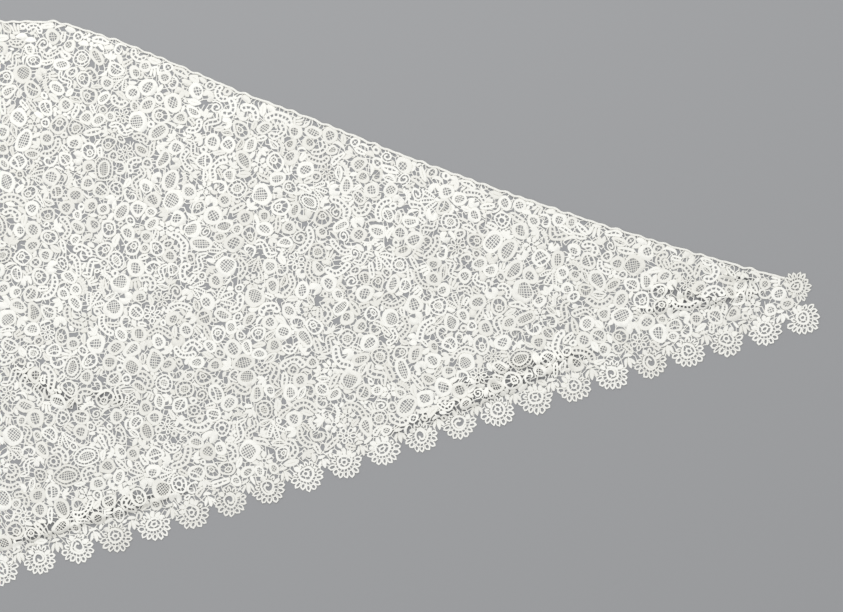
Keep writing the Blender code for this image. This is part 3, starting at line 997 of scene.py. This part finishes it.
def march(rows, columns, heading, shyShare):
    # Follows each heading over the board to the next motif: how far it is, and whether a bar may lie there.
    stepR, stepC = np.sin(heading), np.cos(heading)
    own = label[rows, columns]
    left = own == 0
    done = np.zeros(len(own), dtype=bool)
    length = np.zeros(len(own))
    other = np.zeros(len(own), dtype=np.int32)
    crossed = np.zeros(len(own), dtype=bool)
    shy = chance.random(len(own)) < shyShare
    for i in range(1, int(brides["longest"] * mm / cell * 2) + 1):
        distance = i * 0.5
        r = np.clip(np.rint(rows + stepR * distance).astype(int), 0, label.shape[0] - 1)
        c = np.clip(np.rint(columns + stepC * distance).astype(int), 0, label.shape[1] - 1)
        here = label[r, c]
        crossed |= ~done & ((gapBoard[r, c] & shy) | (outsideCloth[r, c] & (here == 0)))
        hit = ~done & (here > 0) & (left | (here != own))
        length[hit] = distance
        other[hit] = here[hit]
        done |= hit
        left |= here == 0
    return length, done & (other != own) & ~crossed


def wayOf(r, c, er, ec, length):
    steps = max(2, int(length))
    return [(int(round(r + (er - r) * s / steps)), int(round(c + (ec - c) * s / steps)))
            for s in range(1, steps)]


def throwBar(r, c, heading, length, back):
    er, ec = r + length * math.sin(heading), c + length * math.cos(heading)
    for wayR, wayC in wayOf(r, c, er, ec, length):
        usedWay[wayR - 1:wayR + 2, wayC - 1:wayC + 2] = True
    fr, fc = int(round(er)), int(round(ec))
    usedEnds[fr - spread:fr + spread + 1, fc - spread:fc + spread + 1] = True
    sink = brides["sink"] * mm
    bars.append((columnX[c] - math.cos(heading) * back * mm, rowY[r] - math.sin(heading) * back * mm, heading,
                 length * cell + back * mm + sink))


# In the wider gaps the bars meet at a point, like a small web.
spread = int(round(brides["spacing"] * mm / cell / 2 + 0.5))
clear = free & ~outsideCloth
deep = np.zeros(label.shape, dtype=np.int8)
for i in range(4):
    clear = clear & np.logical_and.reduce([np.roll(clear, way, axis) for way, axis in shifts])
    deep += clear
spots = np.argwhere(deep >= webs["depth"])
chance.shuffle(spots)
spots = spots[np.argsort(-deep[spots[:, 0], spots[:, 1]], kind="stable")]
apart = int(webs["apart"] * mm / cell / 2)
settled = np.zeros(label.shape, dtype=bool)
rows, columns, headings = [], [], []
for r, c in spots:
    if settled[r, c] or (gapBoard[r, c] and chance.random() > webs["inGaps"]):
        settled[r, c] = True
        continue
    settled[r - apart:r + apart + 1, c - apart:c + apart + 1] = True
    arms = int(chance.integers(3, 5))
    first = chance.uniform(0, 360)
    for i in range(arms):
        rows.append(r)
        columns.append(c)
        headings.append(math.radians(first + 360 * i / arms + chance.normal(0, webs["swing"])))
rows, columns, headings = np.array(rows), np.array(columns), np.array(headings)
length, good = march(rows, columns, headings, 0.0)
for i in np.nonzero(good & (length * cell < webs["longest"] * mm))[0]:
    throwBar(int(rows[i]), int(columns[i]), headings[i], length[i], webs["back"])
print("web bars", len(bars))

# Elsewhere they run from one motif to the next.
found = []
for swing in brides["swings"]:
    heading = outward + math.radians(swing) + chance.normal(0, brides["waver"], len(outward))
    length, good = march(rimRows, rimColumns, heading, brides["shy"])
    for j in np.nonzero(good & (length * cell > brides["shortest"] * mm))[0]:
        found.append((rimRows[j], rimColumns[j], heading[j], length[j]))
chance.shuffle(found)
for r, c, heading, length in found:
    r, c = int(r), int(c)
    er, ec = r + length * math.sin(heading), c + length * math.cos(heading)
    fr, fc = int(round(er)), int(round(ec))
    if usedEnds[r, c] or usedEnds[fr, fc]:
        continue
    way = wayOf(r, c, er, ec, length)
    if sum(1 for spot in way if usedWay[spot]) > brides["shared"] * len(way):
        continue
    usedEnds[r - spread:r + spread + 1, c - spread:c + spread + 1] = True
    throwBar(r, c, heading, length, brides["sink"])
    if len(bars) >= brides["most"]:
        break
print("brides thrown:", len(bars), "of", len(found))

# Pieces: copies of the motifs and brides joined by region, laid on the folds of the cloth.
barPoints, barCorners = readMesh(drawPaths("bride", [("bar", [(0, 0, 1), (1, 0, 1)])], barProfile))
barPoints = barPoints / mm
warp = {"reach": 0.95 * mm, "waves": ((0.023, 0.4, 1.3), (0.031, 2.1, 0.2), (0.017, 4.0, 2.6))}
lying = {"tilt": 0.012, "mostTilt": 0.2, "low": 0.12, "spread": 0.12, "dome": 0.12, "sharp": 50}


def warped(x, y):
    u, v = x.copy(), y.copy()
    for length, phaseU, phaseV in warp["waves"]:
        k = 2 * math.pi / length
        u += warp["reach"] * 0.5 * np.sin(k * (y + 0.37 * x) + phaseU)
        v += warp["reach"] * 0.5 * np.sin(k * (x - 0.37 * y) + phaseV)
    return u, v


def motifCopy(number, own):
    key, x, y, turn, size, flip, squash = placed[number]
    motif = motifs[key]
    p, t = motif["points"], motif["corners"]
    c, s = math.cos(turn), math.sin(turn)
    fuller = layout["fuller"] * min(1.0, abs(x) / 0.6)
    grow = 1.0 if key in edgeKinds else layout["grow"] + fuller
    u, v = p[:, 0] * size * flip * grow, p[:, 1] * size * squash * grow
    wide = motif["reach"] * size
    fromMiddle = (u * u + v * v) / (wide * wide)
    tiltX, tiltY = own.normal(0, lying["tilt"], 2)
    z = p[:, 2] + (lying["low"] + own.uniform(0, lying["spread"])) * mm
    most = lying["mostTilt"] * mm
    tilted = np.clip(tiltX * u + tiltY * v, -most, most)
    z = z + (p[:, 2] > 0) * (lying["dome"] * mm * (1 - fromMiddle) + tilted)
    points = np.column_stack([x + u * c - v * s, y + u * s + v * c, z])
    shift = own.uniform(0, 90, 2)
    way = motif["thread"] if flip > 0 else motif["thread"][:, ::-1]
    return points, t if flip > 0 else t[:, ::-1], way * size + shift, own.uniform(0, 1)


def barCopy(number, own):
    x, y, heading, reach = bars[number]
    wide = brides["width"] * own.uniform(*brides["uneven"]) * mm
    c, s = math.cos(heading), math.sin(heading)
    u, v = barPoints[:, 0] * reach, barPoints[:, 1] * wide
    z = (brides["low"] + brides["rise"] * (barPoints[:, 2] > 0.5)) * mm
    points = np.column_stack([x + u * c - v * s, y + u * s + v * c, z])
    thread = (np.column_stack([u, v]) / (10 * mm) + own.uniform(0, 90, 2))[barCorners]
    return points, barCorners, thread, own.uniform(*brides["tones"])


def makePiece(name, motifNumbers, barNumbers, surface, extra=()):
    own = np.random.default_rng(len(name) * 131 + len(motifNumbers))
    parts = [motifCopy(number, own) for number in motifNumbers]
    parts += [barCopy(number, own) for number in barNumbers]
    parts += [(p, t, (p[:, :2] / (10 * mm))[t], 0.5) for p, t in extra]
    points, corners, thread, tone = [], [], [], []
    total = 0
    for p, t, way, shade in parts:
        points.append(p)
        corners.append(t + total)
        thread.append(way)
        tone.append(np.full(len(p), shade))
        total += len(p)
    points, corners = np.vstack(points), np.vstack(corners)
    thread, tone = np.concatenate(thread), np.concatenate(tone)
    points[:, 2] += relief(points[:, 0], points[:, 1])
    points[:, 0], points[:, 1] = warped(points[:, 0], points[:, 1])
    mesh = bpy.data.meshes.new(name)
    mesh.vertices.add(len(points))
    mesh.vertices.foreach_set("co", points.ravel())
    mesh.loops.add(len(corners) * 3)
    mesh.loops.foreach_set("vertex_index", corners.ravel().astype(np.int32))
    mesh.polygons.add(len(corners))
    mesh.polygons.foreach_set("loop_start", np.arange(0, len(corners) * 3, 3, dtype=np.int32))
    mesh.update(calc_edges=True)
    uv = mesh.uv_layers.new(name="thread")
    uv.data.foreach_set("uv", thread.ravel())
    shade = mesh.attributes.new("tone", "FLOAT", "POINT")
    shade.data.foreach_set("value", tone.astype(np.float32))
    mesh.validate()
    piece = putIn(name, mesh)
    bpy.ops.object.shade_smooth_by_angle(angle=math.radians(lying["sharp"]))
    mesh.materials.append(surface)
    print("piece", name, "triangles", len(corners))
    return piece


# Thread: ivory white, matt, with the fine close stitches showing as a faint weave.

stitchLook = {
    "rows": {"Scale": 3.4, "Distortion": 1.2, "Detail": 1.0, "Detail Scale": 2.0},
    "grain": {"Scale": 26.0, "Detail": 2.0},
    "cloud": {"Scale": 0.9},
    "lift": {"Strength": 0.5, "Distance": 0.00022},
    "rough": {"To Min": 0.78, "To Max": 0.95},
    "rowShare": 0.55, "cloudShare": 0.4, "specular": 0.25,
    "colours": ((0.1, (0.8, 0.79, 0.74, 1)), (1.0, (0.93, 0.925, 0.88, 1))),
}


def addNode(nodes, kind, inputs=None, **settings):
    node = nodes.new("ShaderNode" + kind)
    for setting, value in settings.items():
        setattr(node, setting, value)
    for socket, value in (inputs or {}).items():
        node.inputs[socket].default_value = value
    return node


def threadGroup():
    group = bpy.data.node_groups.new("close stitches", "ShaderNodeTree")
    for name, way, kind in (("Thread", "INPUT", "Vector"), ("Tone", "INPUT", "Float"),
                            ("Colour", "OUTPUT", "Color"), ("Rough", "OUTPUT", "Float"),
                            ("Normal", "OUTPUT", "Vector")):
        group.interface.new_socket(name, in_out=way, socket_type="NodeSocket" + kind)
    nodes, links = group.nodes, group.links
    entry = nodes.new("NodeGroupInput")
    leave = nodes.new("NodeGroupOutput")
    rows = addNode(nodes, "TexWave", stitchLook["rows"], wave_type="BANDS", bands_direction="X")
    grain = addNode(nodes, "TexNoise", stitchLook["grain"])
    cloud = addNode(nodes, "TexNoise", stitchLook["cloud"])
    for texture in (rows, grain, cloud):
        links.new(entry.outputs["Thread"], texture.inputs["Vector"])
    both = addNode(nodes, "Math", {1: stitchLook["rowShare"]}, operation="MULTIPLY_ADD")
    links.new(rows.outputs["Fac"], both.inputs[0])
    links.new(grain.outputs["Fac"], both.inputs[2])
    lift = addNode(nodes, "Bump", stitchLook["lift"])
    links.new(both.outputs[0], lift.inputs["Height"])
    blend = addNode(nodes, "Math", {1: stitchLook["cloudShare"]}, operation="MULTIPLY_ADD")
    links.new(cloud.outputs["Fac"], blend.inputs[0])
    links.new(entry.outputs["Tone"], blend.inputs[2])
    ramp = addNode(nodes, "ValToRGB")
    for stop, (position, colour) in zip(ramp.color_ramp.elements, stitchLook["colours"]):
        stop.position = position
        stop.color = colour
    links.new(blend.outputs[0], ramp.inputs["Fac"])
    fray = addNode(nodes, "MapRange", stitchLook["rough"])
    links.new(grain.outputs["Fac"], fray.inputs["Value"])
    links.new(ramp.outputs["Color"], leave.inputs["Colour"])
    links.new(fray.outputs["Result"], leave.inputs["Rough"])
    links.new(lift.outputs["Normal"], leave.inputs["Normal"])
    return group


stitches = threadGroup()


def threadSurface(name, sheen):
    surface = bpy.data.materials.new(name)
    surface.use_nodes = True
    nodes, links = surface.node_tree.nodes, surface.node_tree.links
    shader = nodes["Principled BSDF"]
    uv = addNode(nodes, "UVMap", uv_map="thread")
    tone = addNode(nodes, "Attribute", attribute_name="tone")
    work = addNode(nodes, "Group", node_tree=stitches)
    links.new(uv.outputs["UV"], work.inputs["Thread"])
    links.new(tone.outputs["Fac"], work.inputs["Tone"])
    links.new(work.outputs["Colour"], shader.inputs["Base Color"])
    links.new(work.outputs["Rough"], shader.inputs["Roughness"])
    links.new(work.outputs["Normal"], shader.inputs["Normal"])
    shader.inputs["Specular IOR Level"].default_value = stitchLook["specular"]
    shader.inputs["Sheen Weight"].default_value = sheen
    return surface


laceThread = threadSurface("lace thread", 0.15)
edgingThread = threadSurface("edging thread", 0.15)
braidThread = threadSurface("braid thread", 0.2)

# Which piece each motif and bride belongs to.
regionsX = (0.0, 0.235, 0.520)
cornerHalf = 0.5 * scallopPlan["step"]


def regionOf(x, y):
    if y < float(seamLine(x)) or abs(x) > cloth["fieldEnd"]:
        if abs(x) < cornerHalf:
            return "corner_scallop"
        return "edging_right" if x > 0 else "edging_left"
    band = sum(1 for edge in regionsX if abs(x) >= edge)
    return "ground_%s_%d" % ("right" if x > 0 else "left", band)


groups = {}
for number, (key, x, y, turn, size, flip, squash) in enumerate(placed):
    name = regionOf(x, y)
    if key in edgeKinds and name.startswith("ground"):
        name = "edging_right" if x > 0 else "edging_left"
    groups.setdefault(name, ([], []))[0].append(number)
for number, (x, y, heading, reach) in enumerate(bars):
    midX, midY = x + 0.5 * reach * math.cos(heading), y + 0.5 * reach * math.sin(heading)
    groups.setdefault(regionOf(midX, midY), ([], []))[1].append(number)

pieces = {}
for name in sorted(groups):
    if name.startswith("ground"):
        pieces[name] = makePiece(name, *groups[name], laceThread)
    else:
        pieces[name] = makePiece(name + "_work", *groups[name], edgingThread)

# Neck braid: three strands plaited along the whole upper edge.
plait = {"wave": 6.4, "out": 0.7, "swing": 0.75, "strand": 1.6, "step": 1.1, "rise": 0.3, "past": 0.012,
         "drop": 0.2}


def neckBraid():
    end = cloth["fieldEnd"] + plait["past"]
    xs = np.linspace(-end, end, 40001)
    ys = upperEdge(xs) - np.clip(np.abs(xs) - cloth["fieldEnd"], 0, 1) * plait["drop"]
    run = np.concatenate([[0], np.cumsum(np.hypot(np.diff(xs), np.diff(ys)))])
    count = int(run[-1] / (plait["step"] * mm))
    at = np.linspace(0, run[-1], count)
    x, y = np.interp(at, run, xs), np.interp(at, run, ys)
    dx, dy = np.gradient(x), np.gradient(y)
    size = np.hypot(dx, dy)
    nx, ny = -dy / size, dx / size
    paths, lifts = [], []
    for strand in range(3):
        phase = 2 * math.pi * (at / (plait["wave"] * mm) + strand / 3)
        across = (plait["out"] + plait["swing"] * np.sin(phase)) * mm
        px, py = x + nx * across, y + ny * across
        paths.append(("open", [(a / mm, b / mm, plait["strand"]) for a, b in zip(px, py)]))
        lifts.append(np.column_stack([px, py, plait["rise"] * mm * (1 + np.sin(2 * phase))]))
    points, corners = readMesh(drawPaths("plait", paths, tapeProfile))
    perStrand = len(points) // 3
    for strand in range(3):
        part = slice(strand * perStrand, (strand + 1) * perStrand)
        order = np.argsort(lifts[strand][:, 0])
        points[part, 2] += np.interp(points[part, 0], lifts[strand][order, 0], lifts[strand][order, 2])
    return points, corners


pieces["neck_braid"] = makePiece("neck_braid_work", [], [], braidThread, extra=[neckBraid()])


studio = {
    "floorSide": 60, "lightSize": (2.6, 1.6), "lightPower": 41,
    "floorLook": {"Base Color": (0.33, 0.335, 0.345, 1), "Roughness": 0.9, "Specular IOR Level": 0.1},
    "lightPlace": (-0.2, 1.9, 2.3), "lightTilt": -38, "room": 0.76, "lens": 102.5,
    "camera": (0.573, 0.003, 3.0),
}
bpy.ops.mesh.primitive_plane_add(size=studio["floorSide"], location=(0, 0, 0))
floor = bpy.context.active_object
floor.name = "floor"
floorPaint = bpy.data.materials.new("plain floor")
floorPaint.use_nodes = True
for socket, value in studio["floorLook"].items():
    floorPaint.node_tree.nodes["Principled BSDF"].inputs[socket].default_value = value
floor.data.materials.append(floorPaint)

for name, piece in pieces.items():
    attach(piece, "root")
    if name.startswith("ground"):
        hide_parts("lace_ground")
    elif name == "neck_braid":
        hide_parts("neck_braid")
    else:
        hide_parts(name)
for name, piece in pieces.items():
    if name == "neck_braid":
        continue

softLight = bpy.data.lights.new("soft light", "AREA")
softLight.shape = "RECTANGLE"
softLight.size, softLight.size_y = studio["lightSize"]
softLight.energy = studio["lightPower"]
lamp = putIn("soft light", softLight)
lamp.location = studio["lightPlace"]
lamp.rotation_euler = (math.radians(studio["lightTilt"]), 0, 0)
world = bpy.data.worlds.new("soft room")
world.use_nodes = True
world.node_tree.nodes["Background"].inputs["Color"].default_value = (1, 1, 1, 1)
world.node_tree.nodes["Background"].inputs["Strength"].default_value = studio["room"]
bpy.context.scene.world = world

view = bpy.data.cameras.new("view")
view.sensor_width = 36
view.lens = studio["lens"]
camera = putIn("view", view)
camera.location = studio["camera"]
bpy.context.scene.camera = camera
bpy.context.scene.view_settings.view_transform = "Standard"

for spare in (tapeProfile, barProfile):
    bpy.data.objects.remove(spare)
